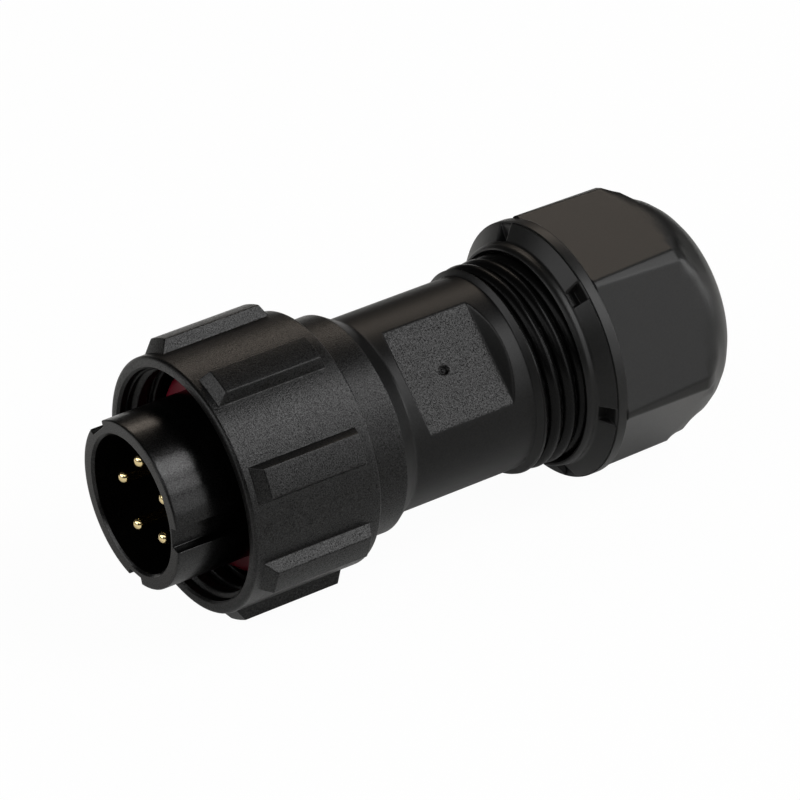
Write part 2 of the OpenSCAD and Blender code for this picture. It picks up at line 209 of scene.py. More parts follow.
def refined(outline: Array, spots: list[tuple[float, float]], reach: float, step: float) -> Array:
    """Outline with more points near the given spots, where each edge is cut into pieces no longer than step.

    Args:
        outline: rows of station and radius, in mm.
        spots: station and radius of each spot.
        reach: distance from a spot within which edges are cut.
        step: longest piece there.

    Returns:
        The outline with the added points.
    """
    along = np.roll(outline, -1, axis=0) - outline
    length = np.linalg.norm(along, axis=1)
    away = np.linalg.norm((outline + along / 2)[:, None] - np.asarray(spots)[None], axis=-1).min(axis=1)
    pieces = np.where(away < reach, np.ceil(length / step), 1).astype(int)
    edge = np.repeat(np.arange(len(outline)), pieces)
    share = (np.arange(pieces.sum()) - np.repeat(np.cumsum(pieces) - pieces, pieces)) / pieces[edge]
    return outline[edge] + along[edge] * share[:, None]


def carried_round(outline: Array, angles: Array, relief: Relief) -> Array:
    """Closed outline carried round the X axis: y = R cos a and z = R sin a, where relief gives R.

    Args:
        outline: rows of station and radius, in mm.
        angles: angles round the axis, in radians.
        relief: final radius from station, outline radius and angle.

    Returns:
        Grid of points, outline by angle by three, in mm.
    """
    station, radius, angle = np.broadcast_arrays(outline[:, :1], outline[:, 1:], angles[None, :])
    height = relief(station, radius, angle)
    return np.stack([station, height * np.cos(angle), height * np.sin(angle)], axis=-1)


def ring_mesh(name: str, points: Array, zones: Array) -> bpy.types.Mesh:
    """Mesh of a grid that closes on itself both ways, as a bent ring does.

    Args:
        name: name of the mesh.
        points: grid of points in mm, whose first index runs forwards along the outer wall.
        zones: material index of each point of the grid.

    Returns:
        The mesh, in metres, with smooth faces that point outwards.
    """
    rows, columns = points.shape[:2]
    index = np.arange(rows * columns).reshape(rows, columns)
    beside = np.roll(index, -1, axis=1)
    quads = np.stack([index, beside, np.roll(beside, -1, axis=0), np.roll(index, -1, axis=0)], axis=-1)
    mesh = bpy.data.meshes.new(name)
    mesh.vertices.add(rows * columns)
    mesh.vertices.foreach_set("co", (points * MM).astype(np.float32).ravel())
    mesh.loops.add(quads.size)
    mesh.loops.foreach_set("vertex_index", quads.astype(np.int32).ravel())
    mesh.polygons.add(rows * columns)
    mesh.polygons.foreach_set("loop_start", np.arange(0, quads.size, 4, dtype=np.int32))
    mesh.polygons.foreach_set("material_index", zones.astype(np.int32).ravel())
    mesh.polygons.foreach_set("use_smooth", np.ones(rows * columns, bool))
    mesh.update(calc_edges=True)
    mesh.validate()
    return mesh


# Finishes


def linear(code: str) -> tuple[float, float, float, float]:
    """Linear colour of an sRGB hex code, with full alpha.

    Args:
        code: six hex digits.

    Returns:
        Red, green, blue and alpha from 0 to 1.
    """
    levels = np.array([int(code[i : i + 2], 16) / 255 for i in (0, 2, 4)])
    curve = np.where(levels <= 0.04045, levels / 12.92, ((levels + 0.055) / 1.055) ** 2.4)
    return (*curve.tolist(), 1.0)


def add_node(
    tree: bpy.types.NodeTree, kind: str, inputs: dict[str | int, object] | None = None, **settings: object
) -> bpy.types.Node:
    """Adds a node, with its settings, values and links.

    Args:
        tree: node tree that takes the node.
        kind: type of the node.
        inputs: for each input a value, or the output socket to link it to.
        settings: properties of the node.

    Returns:
        The new node.
    """
    node = tree.nodes.new(kind)
    for name, value in settings.items():
        setattr(node, name, value)
    for name, value in (inputs or {}).items():
        if isinstance(value, bpy.types.NodeSocket):
            tree.links.new(value, node.inputs[name])
        else:
            node.inputs[name].default_value = value
    return node


@dataclass(frozen=True)
class Finish:
    """A surface as the eye sees it: two tones, a gloss and a fine relief, from patterns in real millimetres.

    The tone wanders over cloud_mm, and the gloss and the relief follow grains of grain_mm. The shine of the
    grains is the specular level, more or less its share sparkle, and a smooth coat may lie over them.
    """

    name: str
    dark: str
    light: str
    roughness: float
    spread: float
    grain_mm: float
    relief_mm: float
    cloud_mm: float = 6.0
    metallic: float = 0.0
    specular: float = 0.5
    sparkle: float = 0.0
    coat: float = 0.0
    ior: float = 1.5

    def material(self) -> bpy.types.Material:
        """The material of this finish, built once."""
        return bpy.data.materials.get(self.name) or self.build()

    def build(self) -> bpy.types.Material:
        """Builds the nodes: object coordinates drive two noises, which drive tone, gloss and relief.

        Returns:
            The new material.
        """
        material = bpy.data.materials.new(self.name)
        material.use_nodes = True
        tree = material.node_tree
        tree.nodes.clear()
        place = add_node(tree, "ShaderNodeTexCoord").outputs["Object"]
        clouds = add_node(
            tree,
            "ShaderNodeTexNoise",
            {"Vector": place, "Scale": 1 / (self.cloud_mm * MM), "Detail": CLOUD_DETAIL},
        )
        grains = add_node(
            tree,
            "ShaderNodeTexNoise",
            {"Vector": place, "Scale": 1 / (self.grain_mm * MM), "Detail": GRAIN_DETAIL},
        )
        # The colour sockets of a Mix node share their names with its number sockets, so they go by index.
        tone = add_node(
            tree,
            "ShaderNodeMix",
            {0: clouds.outputs["Fac"], 6: linear(self.dark), 7: linear(self.light)},
            data_type="RGBA",
        )
        gloss = add_node(
            tree,
            "ShaderNodeMapRange",
            {
                "Value": grains.outputs["Fac"],
                "From Min": GLOSS_SPAN[0],
                "From Max": GLOSS_SPAN[1],
                "To Min": self.roughness - self.spread,
                "To Max": self.roughness + self.spread,
            },
        )
        shine = add_node(
            tree,
            "ShaderNodeMapRange",
            {
                "Value": grains.outputs["Fac"],
                "From Min": SHINE_SPAN[0],
                "From Max": SHINE_SPAN[1],
                "To Min": self.specular * (1 - self.sparkle),
                "To Max": self.specular * (1 + self.sparkle),
            },
        )
        relief = add_node(
            tree,
            "ShaderNodeBump",
            {"Height": grains.outputs["Fac"], "Distance": self.relief_mm * MM, "Strength": 1.0},
        )
        surface = add_node(
            tree,
            "ShaderNodeBsdfPrincipled",
            {
                "Base Color": tone.outputs[2],
                "Roughness": gloss.outputs["Result"],
                "Normal": relief.outputs["Normal"],
                "Metallic": self.metallic,
                "Specular IOR Level": shine.outputs["Result"],
                "IOR": self.ior,
                "Coat Weight": self.coat,
                "Coat Roughness": SKIN_ROUGHNESS,
            },
        )
        add_node(tree, "ShaderNodeOutputMaterial", {"Surface": surface.outputs["BSDF"]})
        return material


# Glass-filled nylon moulded in a spark-eroded tool: a dry black whose fine grain breaks up every highlight.
# The grain is drawn a little coarser than it is, so that it shows.
GRAINED_NYLON = Finish(
    "nylon_moulded_spark_grain", "070707", "0a0a0a",
    roughness=0.31, spread=0.03, grain_mm=0.15, relief_mm=0.03, specular=0.24, sparkle=0.85,
)
# The same grain, a little duller, on the collar: painted shade from the coupling nut beside it.
COLLAR_SHADE_NYLON = Finish(
    "nylon_moulded_grain_painted_shade", "070707", "0a0a0a",
    roughness=0.31, spread=0.03, grain_mm=0.15, relief_mm=0.03, specular=0.21, sparkle=0.8,
)
# The same nylon against a coarser patch of the tool, as on wrench flats.
COARSE_NYLON = Finish(
    "nylon_moulded_coarse_grain", "070707", "0b0b0b",
    roughness=0.32, spread=0.04, grain_mm=0.18, relief_mm=0.05, specular=0.22, sparkle=0.9,
)
# Nylon moulded in a stoned tool: satin black, with soft broad highlights and hardly any grain.
SATIN_NYLON = Finish(
    "nylon_moulded_satin", "060606", "080808",
    roughness=0.38, spread=0.03, grain_mm=0.2, relief_mm=0.004, cloud_mm=4.0, specular=0.175, sparkle=0.2,
)
# Nylon moulded in a lightly blasted tool: a greyer matt black, even all over.
MATT_NYLON = Finish(
    "nylon_moulded_matt", "080808", "0b0b0a",
    roughness=0.38, spread=0.03, grain_mm=0.2, relief_mm=0.006, cloud_mm=4.0, specular=0.26, sparkle=0.1,
)
# Nylon of the thread and the gate mark: a deeper black with less shine, as painted shade in the grooves and the
# gate mark's dent, with light only along the crests.
THREAD_SHADE_NYLON = Finish(
    "nylon_moulded_thread_painted_shade", "030303", "050505",
    roughness=0.29, spread=0.02, grain_mm=0.2, relief_mm=0.003, cloud_mm=4.0, specular=0.1,
)
# Nylon moulded in a polished tool: the deepest black, with a skin of resin that gives clear highlights.
SMOOTH_NYLON = Finish(
    "nylon_moulded_smooth", "020202", "040404",
    roughness=0.28, spread=0.0, grain_mm=0.15, relief_mm=0.008, specular=0.16, sparkle=0.95, coat=0.2,
)
# Insulator moulded from flame-retardant nylon: plain matt black that drinks the light inside the shroud.
INSULATOR = Finish(
    "nylon_moulded_insulator", "060606", "090909",
    roughness=0.55, spread=0.05, grain_mm=0.3, relief_mm=0.01, specular=0.2,
)
# Gold over brass: a bright pale yellow mirror with turning marks too fine to see singly, drawn as a faint haze.
GOLD_PLATE = Finish(
    "brass_turned_gold_plated", "e2c98c", "f0deb0",
    roughness=0.13, spread=0.03, grain_mm=0.12, relief_mm=0.0005, cloud_mm=1.0, metallic=1.0,
)
# Zinc on steel: a cool grey metal with a slightly cloudy gloss.
ZINC_PLATE = Finish(
    "steel_turned_zinc_plated", "9a9ca0", "b4b6ba",
    roughness=0.34, spread=0.08, grain_mm=0.15, relief_mm=0.003, cloud_mm=1.0, metallic=1.0,
)
# Silicone moulded in a blasted tool: a saturated crimson with a soft waxy sheen.
RED_SILICONE = Finish(
    "silicone_moulded_red", "580819", "640a1d",
    roughness=0.4, spread=0.05, grain_mm=0.2, relief_mm=0.004, cloud_mm=3.0, specular=0.33, ior=1.41,
)
# Moulded rubber: a flat greyish black with no clear highlight.
BLACK_RUBBER = Finish(
    "rubber_moulded_black", "121212", "191919",
    roughness=0.7, spread=0.05, grain_mm=0.15, relief_mm=0.006, cloud_mm=3.0, specular=0.3,
)


# Sub-assemblies


@dataclass(frozen=True)
class Thread:
    """Right-hand thread: a ridge whose crest moves one pitch along X for each turn from +Y towards +Z."""

    pitch: float
    crest_w: float
    flank_w: float
    crest_at: float
    crest_angle: float = 0.0
    bulge: float = 1.0

    def ridge(self, station: Array, angle: Array) -> Array:
        """Height of the ridge from 0 at its foot to 1 on its crest.

        The distance from the nearest crest along X, past the crest's edge, is a share s of the flank's width,
        and the height is (1 - s^b)^(1/b): straight flanks for a bulge b of 1, round ones for 2.

        Args:
            station: X in mm.
            angle: angle round the axis, in radians.

        Returns:
            Share of the thread's full depth.
        """
        crest = self.crest_at + self.pitch * (angle - self.crest_angle) / FULL_TURN
        away = np.abs((station - crest + self.pitch / 2) % self.pitch - self.pitch / 2)
        share = np.clip((away - self.crest_w / 2) / self.flank_w, 0, 1)
        return (1 - share**self.bulge) ** (1 / self.bulge)


class SubAssembly:
    """Pieces that are built together and ride on one body or a few."""

    def dress(self, nodes: list[str], finish: Finish) -> None:
        """Gives nodes of the frame a finish.

        Args:
            nodes: names of the nodes.
            finish: their finish.
        """
        for node in nodes:
            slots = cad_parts[node].data.materials
            slots.clear()
            slots.append(finish.material())
            LOG.info("dressed %s in %s", node, finish.name)

    def stand_for(
        self, node: str, mesh: bpy.types.Mesh, body: Body, slot: Slot, finishes: list[Finish]
    ) -> None:
        """Adds a modelled piece that stands for a node of the frame.

        Args:
            node: node that the piece replaces.
            mesh: its mesh, in place.
            body: body that it rides on.
            slot: material slot of the record; not used.
            finishes: finishes in the order of the mesh's zones.
        """
        piece = bpy.data.objects.new(mesh.name, mesh)
        bpy.context.scene.collection.objects.link(piece)
        for finish in finishes:
            mesh.materials.append(finish.material())
        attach(piece, body.value)
        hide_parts(node)
        LOG.info("built %s: %d faces on %s", piece.name, len(mesh.polygons), body.value)


def stations(node: str) -> tuple[float, float]:
    """First and last station of a node of the frame, in mm."""
    low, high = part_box(node)
    return low.x / MM, high.x / MM


@dataclass
class MatingEnd(SubAssembly):
    """Plug shell with its keyed shroud, and the contacts, insert and seals that it holds."""

    shroud_r: float = 10.0
    bore_r: float = 8.2
    mouth_r: float = 8.5
    mouth_lead: float = 0.3
    rim_round: float = 0.16
    edge_round: float = 0.06
    keyway_angles: tuple[float, ...] = (50, 181, 273)
    keyway_widths: tuple[float, ...] = (3.6, 2.9, 2.7)
    keyway_depths: tuple[float, ...] = (0.85, 1.2, 0.9)
    keyway_end: float = 10.8
    keyway_wall: float = 0.07
    least_cosine: float = 0.5
    seal_at: float = 11.4
    seat_at: float = 13.0
    groove_r: float = 9.6
    hub_r: float = 12.4
    hub_end: float = 20.6
    journal_r: float = 11.0
    collar_at: float = 23.6
    spigot_r: float = 10.2
    ring_groove: tuple[float, float] = (24.2, 25.5)
    ring_groove_r: float = 9.1
    ledge: tuple[float, float] = (11.0, 12.4)
    ledge_r: float = 7.4
    columns: int = 420

    def keyed(self, station: Array, radius: Array, angle: Array) -> Array:
        """Radius of the shell with its keyways: the wall outside the mouth is pressed down to each flat floor.

        Args:
            station: X in mm.
            radius: radius of the plain outline.
            angle: angle round the axis, in radians.

        Returns:
            Final radius in mm.
        """
        wall = self.shroud_r - self.mouth_r
        outside = np.clip((radius - self.mouth_r) / wall, 0, 1)
        height = radius.copy()
        for degrees, width, depth in zip(self.keyway_angles, self.keyway_widths, self.keyway_depths):
            turn = turn_from(angle, math.radians(degrees))
            across = np.abs(self.shroud_r * np.sin(turn))
            inside = 1 - rise(across, width / 2 - self.keyway_wall, width / 2 + self.keyway_wall)
            inside *= 1 - rise(station, self.keyway_end - self.keyway_wall, self.keyway_end + self.keyway_wall)
            inside *= np.cos(turn) > 0
            # Far from a keyway its floor isn't used, and the cosine is kept from zero there.
            floor = (self.shroud_r - depth) / np.maximum(np.cos(turn), self.least_cosine)
            height -= outside * inside * np.maximum(self.shroud_r - floor, 0)
        return np.where(station < self.seal_at - self.edge_round, height, radius)

    def build(self) -> None:
        """Builds the plug shell, and dresses the contacts, the insert and the seals."""
        start, end = stations("plug_shell")
        edge = self.edge_round
        outline = rounded_loop([
            (start, self.mouth_r, edge, 0.3),
            (start, self.shroud_r, self.rim_round, 0.25),
            (self.seal_at, self.shroud_r, edge, 0.2),
            (self.seal_at, self.groove_r, edge, 0.8),
            (self.seat_at, self.groove_r, edge, 0.7),
            (self.seat_at, self.hub_r, 2 * edge, 1.2),
            (self.hub_end, self.hub_r, 2 * edge, 0.7),
            (self.hub_end, self.journal_r, edge, 1.0),
            (self.collar_at, self.journal_r, edge, 0.4),
            (self.collar_at, self.spigot_r, edge, 0.3),
            (self.ring_groove[0], self.spigot_r, edge, 0.5),
            (self.ring_groove[0], self.ring_groove_r, edge, 0.6),
            (self.ring_groove[1], self.ring_groove_r, edge, 0.5),
            (self.ring_groove[1], self.spigot_r, edge, 1.0),
            (end, self.spigot_r, 2 * edge, 0.8),
            (end, self.bore_r, edge, 2.0),
            (self.ledge[1], self.bore_r, edge, 0.4),
            (self.ledge[1], self.ledge_r, edge, 0.5),
            (self.ledge[0], self.ledge_r, edge, 0.4),
            (self.ledge[0], self.bore_r, edge, 0.6),
            (start + self.mouth_lead, self.bore_r, edge, 0.2),
        ])
        edges = [
            math.radians(degrees) + side * math.asin(width / 2 / self.shroud_r)
            for degrees, width in zip(self.keyway_angles, self.keyway_widths)
            for side in (-1, 1)
        ]
        angles = crowded_angles(self.columns, edges, reach=1.6, boost=6)
        points = carried_round(outline, angles, self.keyed)
        mesh = ring_mesh("plug_shell_moulding", points, np.zeros(points.shape[:2]))
        self.stand_for("plug_shell", mesh, Body.HOUSING, Slot.SHROUD, [SMOOTH_NYLON])
        self.dress(["contact_insert", "insert_lock_ring"], INSULATOR)
        self.dress([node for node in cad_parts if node.startswith("contact_pin")], GOLD_PLATE)
        self.dress(["terminal_screws"], ZINC_PLATE)
        self.dress(["face_seal"], RED_SILICONE)
        self.dress(["shell_seal"], BLACK_RUBBER)


@dataclass
class CouplingNut(SubAssembly):
    """Ribbed nut with a coarse thread inside its mouth."""

    radius: float = 15.25
    bore_r: float = 13.75
    mouth_r: float = 14.05
    mouth_lead: float = 0.3
    journal_bore_r: float = 11.1
    lip_t: float = 2.6
    front_round: float = 0.4
    rear_round: float = 0.2
    ribs: int = 8
    rib_angle: float = 22.5
    rib_r: float = 16.7
    rib_foot_w: float = 4.3
    rib_crest_w: float = 3.4
    rib_inset: float = 1.05
    rib_len: float = 14.25
    rib_foot_r: float = 15.05
    front_slope: float = 1.15
    rear_slope: float = 0.7
    rib_edge: float = 0.1
    rib_fillet: float = 0.06
    thread_depth: float = 0.65
    thread_start: float = 1.0
    thread_end: float = 6.6
    thread_fade: float = 0.7
    thread: Thread = Thread(pitch=2.3, crest_w=1.3, flank_w=0.25, crest_at=9.75, crest_angle=math.radians(60))
    spot_gap: float = 0.5
    columns: int = 460

    def ribbed(self, station: Array, radius: Array, angle: Array) -> Array:
        """Radius of the nut: ribs stand on the outer wall, and the thread stands in from the bore.

        A rib is the lowest of its crest, its leaning flanks and its end slopes. A flank is a straight line
        across the rib, so along a ray at angle a its radius is c / (sin a + lean cos a).

        Args:
            station: X in mm.
            radius: radius of the plain outline.
            angle: angle round the axis, in radians.

        Returns:
            Final radius in mm.
        """
        front, _ = stations("coupling_nut")
        turn = np.abs(turn_from(angle, math.radians(self.rib_angle), FULL_TURN / self.ribs))
        lean = (self.rib_foot_w - self.rib_crest_w) / 2 / (self.rib_r - self.radius)
        flank = (self.rib_foot_w / 2 + lean * self.radius) / (np.sin(turn) + lean * np.cos(turn))
        rib = smooth_min(flank, np.full_like(flank, self.rib_r), self.rib_edge)
        start = front + self.rib_inset
        height = self.rib_r - self.rib_foot_r
        front_end = self.rib_foot_r + (station - start) * height / self.front_slope
        rear_end = self.rib_foot_r + (start + self.rib_len - station) * height / self.rear_slope
        rib = smooth_min(rib, np.minimum(front_end, rear_end), self.rib_edge)
        outer = smooth_max(radius, rib, self.rib_fillet)
        inset = station - front
        present = rise(inset, self.thread_start, self.thread_start + self.thread_fade)
        present *= 1 - rise(inset, self.thread_end - self.thread_fade, self.thread_end)
        threaded = radius - self.thread_depth * present * self.thread.ridge(station, angle)
        on_bore = np.abs(radius - self.bore_r) < ON_WALL
        on_wall = radius > (self.mouth_r + self.radius) / 2
        return np.where(on_wall, outer, np.where(on_bore, threaded, radius))

    def build(self) -> None:
        """Builds the nut as one closed ring."""
        front, end = stations("coupling_nut")
        lip = end - self.lip_t
        outline = rounded_loop([
            (front, self.mouth_r, 0.08, 0.4),
            (front, self.radius, self.front_round, 0.4),
            (end, self.radius, self.rear_round, 0.8),
            (end, self.journal_bore_r, 0.2, 1.2),
            (lip, self.journal_bore_r, 0.1, 0.8),
            (lip, self.bore_r, 0.1, 0.8),
            (front + self.mouth_lead, self.bore_r, 0.05, 0.2),
        ])
        rib_start, rib_end = front + self.rib_inset, front + self.rib_inset + self.rib_len
        slope_ends = (rib_start, rib_start + self.front_slope, rib_end - self.rear_slope, rib_end)
        outline = refined(outline, [(station, self.radius) for station in slope_ends], reach=0.5, step=0.06)
        turns = np.arange(front + self.thread_start, front + self.thread_end, self.spot_gap)
        outline = refined(outline, [(station, self.bore_r) for station in turns], reach=0.6, step=0.12)
        rib_step = FULL_TURN / self.ribs
        flank = math.asin((self.rib_foot_w + self.rib_crest_w) / 4 / self.radius)
        edges = [
            math.radians(self.rib_angle) + index * rib_step + side * flank
            for index in range(self.ribs)
            for side in (-1, 1)
        ]
        angles = crowded_angles(self.columns, edges, reach=1.8, boost=7)
        points = carried_round(outline, angles, self.ribbed)
        mesh = ring_mesh("coupling_nut_moulding", points, np.zeros(points.shape[:2]))
        self.stand_for("coupling_nut", mesh, Body.COUPLING, Slot.NUT, [GRAINED_NYLON])


@dataclass
class BackShell(SubAssembly):
    """Rear housing: grained collar, satin neck, wrench flats and the thread for the gland nut."""

    socket_r: float = 10.25
    socket_end: float = 28.6
    collar_r: float = 13.15
    collar_end: float = 28.3
    neck_at: float = 30.5
    neck_r: float = 11.75
    neck_end: float = 46.95
    shoulder_at: float = 47.5
    runout: tuple[float, float] = (47.1, 47.6)
    bare_to: float = 54.6
    thread_lead: float = 1.2
    crest_r: float = 12.57
    root_r: float = 11.57
    wire_bore_r: float = 8.2
    seat_at: float = 54.0
    seat_r: float = 9.6
    flat_angle: float = 136.5
    flat_distance: float = 9.85
    flat: tuple[float, float] = (32.75, 44.1)
    flat_reach: float = 1.2
    ramp: float = 1.9
    ramp_spot: float = 0.4
    flat_edge: float = 0.14
    gate_at: float = 37.75
    gate_r: float = 0.62
    gate_wall: float = 0.2
    gate_depth: float = 0.3
    gate_reach: float = 1.0
    stub_r: float = 0.2
    stub_wall: float = 0.15
    stub_share: float = 0.4
    thread: Thread = Thread(
        pitch=2.0, crest_w=0.0, flank_w=1.0, crest_at=49.4, crest_angle=math.radians(150), bulge=1.8
    )
    wall_margin: float = 0.1
    spot_gap: float = 0.4
    columns: int = 256

    def outer(self, radius: Array) -> Array:
        """Whether points of the outline lie on the outer wall, nowhere lower than the thread's root."""
        return radius > self.root_r - self.wall_margin

    def flat_plane(self, station: Array, angle: Array) -> Array:
        """Radius of the plane of the nearer wrench flat, and of the ramps past its ends.

        A flat at distance d has the radius d / cos a at angle a from its normal, and d grows steeply past each
        end of the flat, which makes the ramps.

        Args:
            station: X in mm.
            angle: angle round the axis, in radians.

        Returns:
            Radius in mm.
        """
        turn = turn_from(angle, math.radians(self.flat_angle), math.pi)
        past = np.maximum(np.maximum(self.flat[0] - station, station - self.flat[1]), 0)
        turn = np.clip(turn, -self.flat_reach, self.flat_reach)
        return (self.flat_distance + self.ramp * past) / np.cos(turn)

    def from_gate(self, station: Array, angle: Array) -> Array:
        """Distance from the gate mark's middle over the first flat, in mm.

        It is the hypotenuse of the way along X and of the way across the flat, d tan a, and away from the first
        flat the way across is as far as the neck's radius.

        Args:
            station: X in mm.
            angle: angle round the axis, in radians.

        Returns:
            Distance in mm.
        """
        turn = turn_from(angle, math.radians(self.flat_angle))
        over_flat = self.flat_distance * np.tan(np.clip(turn, -self.gate_reach, self.gate_reach))
        across = np.where(np.abs(turn) < self.gate_reach, over_flat, self.neck_r)
        return np.hypot(across, station - self.gate_at)

    def moulded(self, station: Array, radius: Array, angle: Array) -> Array:
        """Radius of the shell: flats and a gate mark cut the neck, and a groove runs out in the shoulder.

        The wall is the lower of the plain outline and the flat's plane, and the groove, which is the thread's
        depth less its ridge, is taken down from the crests.

        Args:
            station: X in mm.
            radius: radius of the plain outline.
            angle: angle round the axis, in radians.

        Returns:
            Final radius in mm.
        """
        plane = self.flat_plane(station, angle)
        on_neck = self.outer(radius) & (station < self.shoulder_at)
        height = np.where(on_neck, smooth_min(radius, plane, self.flat_edge), radius)
        from_gate = self.from_gate(station, angle)
        dent = 1 - rise(from_gate, self.gate_r - self.gate_wall, self.gate_r)
        dent -= self.stub_share * (1 - rise(from_gate, self.stub_r, self.stub_r + self.stub_wall))
        height = np.where(on_neck, height - self.gate_depth * dent, height)
        groove = (1 - self.thread.ridge(station, angle)) * rise(station, *self.runout)
        grooved = np.minimum(height, self.crest_r - (self.crest_r - self.root_r) * groove)
        return np.where(self.outer(radius) & (station > self.runout[0]), grooved, height)

    def zones(self, outline: Array, angles: Array) -> Array:
        """Zone of each point.

        The inside goes with the neck, the shoulder with the ramps, and the gate mark with the thread, whose
        darker finish is painted shade in both.

        Args:
            outline: rows of station and radius.
            angles: angles round the axis, in radians.

        Returns:
            Grid of material indices.
        """
        station, angle = np.broadcast_arrays(outline[:, :1], angles[None, :])
        cut = self.flat_plane(station, angle) < self.neck_r
        flat = cut & (station > self.flat[0]) & (station < self.flat[1])
        shoulder = (station > self.neck_end) & (station <= self.shoulder_at)
        in_gate = self.from_gate(station, angle) < self.gate_r - self.gate_wall / 2
        # Thread and gate mark, which take the darker finish as painted shade
        smooth = (station > self.shoulder_at) | in_gate
        inside = np.broadcast_to(~self.outer(outline[:, 1:]), cut.shape)
        places = [inside, smooth, flat, cut | shoulder, station < self.collar_end]
        names = [ShellZone.NECK, ShellZone.THREAD, ShellZone.FLAT, ShellZone.RAMP, ShellZone.COLLAR]
        return np.select(places, names, ShellZone.NECK)

    def build(self) -> None:
        """Builds the shell as one closed ring."""
        start, end = stations("back_shell")
        outline = rounded_loop([
            (start, self.socket_r, 0.1, 1.0),
            (start, self.collar_r, 0.35, 0.6),
            (self.collar_end, self.collar_r, 0.35, 0.3),
            (self.neck_at, self.neck_r, 0.9, 0.2),
            (self.neck_end, self.neck_r, 0.25, 0.1),
            (self.shoulder_at, self.crest_r, 0.15, 0.2),
            (end - self.thread_lead, self.crest_r, 0.2, 0.2),
            (end, self.root_r, 0.1, 0.5),
            (end, self.seat_r, 0.1, 1.2),
            (self.seat_at, self.seat_r, 0.1, 0.8),
            (self.seat_at, self.wire_bore_r, 0.1, 3.0),
            (self.socket_end, self.wire_bore_r, 0.1, 1.0),
            (self.socket_end, self.socket_r, 0.1, 1.2),
        ])
        bare = np.arange(self.shoulder_at, self.bare_to, self.spot_gap)
        outline = refined(outline, [(station, self.crest_r) for station in bare], reach=0.5, step=0.075)
        ramps = (self.flat[0] - self.ramp_spot, self.flat[1] + self.ramp_spot)
        outline = refined(outline, [(station, self.neck_r) for station in ramps], reach=0.9, step=0.08)
        side = math.acos(self.flat_distance / self.neck_r)
        middle = math.radians(self.flat_angle)
        edges = [middle + side, middle - side, middle + math.pi + side, middle + math.pi - side, middle]
        angles = crowded_angles(self.columns, edges, reach=4, boost=3)
        points = carried_round(outline, angles, self.moulded)
        mesh = ring_mesh("back_shell_moulding", points, self.zones(outline, angles))
        finishes = {
            ShellZone.NECK: SATIN_NYLON,
            # The collar's duller grain is painted shade from the coupling nut.
            ShellZone.COLLAR: COLLAR_SHADE_NYLON,
            ShellZone.FLAT: COARSE_NYLON,
            ShellZone.RAMP: MATT_NYLON,
            # The thread's darker finish is painted shade for its grooves and the gate mark's dent.
            ShellZone.THREAD: THREAD_SHADE_NYLON,
        }
        self.stand_for("back_shell", mesh, Body.HOUSING, Slot.SHELL, [finishes[zone] for zone in ShellZone])


